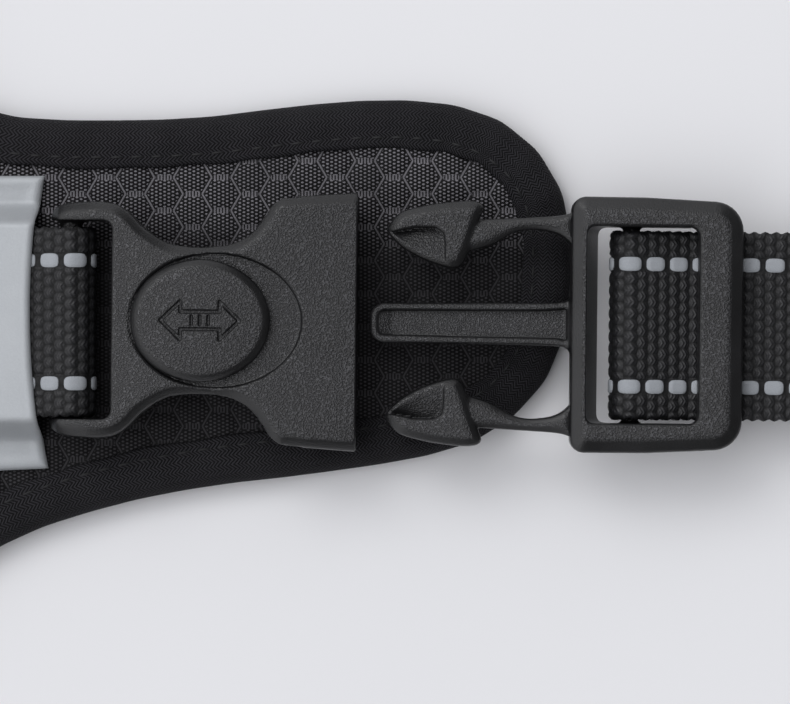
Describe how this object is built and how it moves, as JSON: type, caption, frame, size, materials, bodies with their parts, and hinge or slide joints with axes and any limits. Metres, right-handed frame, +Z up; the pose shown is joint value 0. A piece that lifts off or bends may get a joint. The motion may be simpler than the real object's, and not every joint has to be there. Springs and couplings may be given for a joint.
{
  "type": "padded safety harness vest",
  "caption": "Padded harness vest laid flat: winged saddle, neck fork, belly strap with pad, and side-release buckles with sliding locks.",
  "frame": {"origin": "on the resting face of the saddle's lining, on the saddle's line of symmetry, level with the girth webbing", "axes": "+X towards the right wing and along the belly strap, +Y towards the neck, +Z up off the face fabric"},
  "size_m": [0.5698, 0.2696, 0.025],
  "materials": {
    "face_fabric": "hexagon jacquard, matt",
    "binding_tape": "herringbone tape, matt",
    "mesh_lining": "air mesh, matt",
    "foam": "closed-cell foam",
    "webbing": "coarse polyester weave with reflective stitch rows",
    "reflective_cloth": "silver-grey retroreflective cloth, satin",
    "buckle_plastic": "fine-grained acetal, satin",
    "ring_steel": "nickel plated wire"
  },
  "bodies": {
    "saddle": {"saddle_lining": "mesh_lining", "saddle_foam": "foam", "saddle_face": "face_fabric", "saddle_binding": "binding_tape", "girth_webbing": "webbing", "girth_loop_right": "webbing", "girth_loop_left": "webbing", "reflective_strip_right": "reflective_cloth", "reflective_strip_left": "reflective_cloth", "neck_webbing": "webbing", "neck_slider": "buckle_plastic", "handle": "webbing", "leash_ring_tab": "webbing"},
    "female_right": {"female_body_right": "buckle_plastic"},
    "lock_right": {"lock_button_right": "buckle_plastic", "lock_retainer_right": "buckle_plastic"},
    "male_right": {"male_frame_right": "buckle_plastic", "strap_loop_right": "webbing"},
    "front_arm_right": {"barb_arm_front_right": "buckle_plastic"},
    "rear_arm_right": {"barb_arm_rear_right": "buckle_plastic"},
    "belly": {"belly_strap_near": "webbing", "belly_strap": "webbing", "belly_strap_far": "webbing", "belly_pad_lining": "mesh_lining", "belly_pad_foam": "foam", "belly_pad_face": "face_fabric", "belly_pad_binding": "binding_tape"},
    "male_left": {"male_frame_left": "buckle_plastic", "strap_loop_left": "webbing"},
    "front_arm_left": {"barb_arm_front_left": "buckle_plastic"},
    "rear_arm_left": {"barb_arm_rear_left": "buckle_plastic"},
    "female_left": {"female_body_left": "buckle_plastic"},
    "lock_left": {"lock_button_left": "buckle_plastic", "lock_retainer_left": "buckle_plastic"},
    "ring": {"leash_ring": "ring_steel"}
  },
  "joints": [
    {"name": "female_right_tilt", "type": "hinge", "parent": "saddle", "child": "female_right", "pos_m": [0.0843, 0.00033, 0.009], "axis": [-0.0105, -0.9999, 0], "range_deg": [0, 45]},
    {"name": "lock_right_slide", "type": "slide", "parent": "female_right", "child": "lock_right", "axis": [0.9999, -0.0105, 0], "range_m": [0, 0.0037]},
    {"name": "buckle_right_insert", "type": "slide", "parent": "female_right", "child": "male_right", "axis": [-0.9999, 0.0105, 0], "range_m": [0, 0.028]},
    {"name": "front_arm_right_squeeze", "type": "hinge", "parent": "male_right", "child": "front_arm_right", "pos_m": [0.15063, 0.01234, 0.0095], "axis": [0, 0, 1], "range_deg": [0, 6], "stiffness_Nm_per_rad": 0.5},
    {"name": "rear_arm_right_squeeze", "type": "hinge", "parent": "male_right", "child": "rear_arm_right", "pos_m": [0.15036, -0.01306, 0.0095], "axis": [0, 0, 1], "range_deg": [-6, 0]},
    {"name": "strap_bend_right", "type": "hinge", "parent": "male_right", "child": "belly", "pos_m": [0.1758, -0.00062, 0.0081], "axis": [-0.0105, -0.9999, 0], "range_deg": [0, 50]},
    {"name": "strap_bend_left", "type": "hinge", "parent": "belly", "child": "male_left", "pos_m": [0.36689, -0.00263, 0.0033], "axis": [-0.0105, -0.9999, 0], "range_deg": [0, 60]},
    {"name": "front_arm_left_squeeze", "type": "hinge", "parent": "male_left", "child": "front_arm_left", "pos_m": [0.39205, -0.01559, 0.0047], "axis": [0, 0, 1], "range_deg": [0, 6], "stiffness_Nm_per_rad": 0.5},
    {"name": "rear_arm_left_squeeze", "type": "hinge", "parent": "male_left", "child": "rear_arm_left", "pos_m": [0.39232, 0.00981, 0.0047], "axis": [0, 0, 1], "range_deg": [-6, 0]},
    {"name": "female_left_tilt", "type": "hinge", "parent": "saddle", "child": "female_left", "pos_m": [-0.0843, 0, 0.009], "axis": [0, 1, 0], "range_deg": [0, 45]},
    {"name": "lock_left_slide", "type": "slide", "parent": "female_left", "child": "lock_left", "axis": [-1, 0, 0], "range_m": [0, 0.0037]},
    {"name": "leash_ring_swing", "type": "hinge", "parent": "saddle", "child": "ring", "pos_m": [0, -0.053, 0.0091], "axis": [-1, 0, 0], "range_deg": [0, 120]}
  ],
  "couplings": [
    {"joint": "rear_arm_right_squeeze", "follows": "front_arm_right_squeeze", "ratio": -1},
    {"joint": "rear_arm_left_squeeze", "follows": "front_arm_left_squeeze", "ratio": -1}
  ]
}
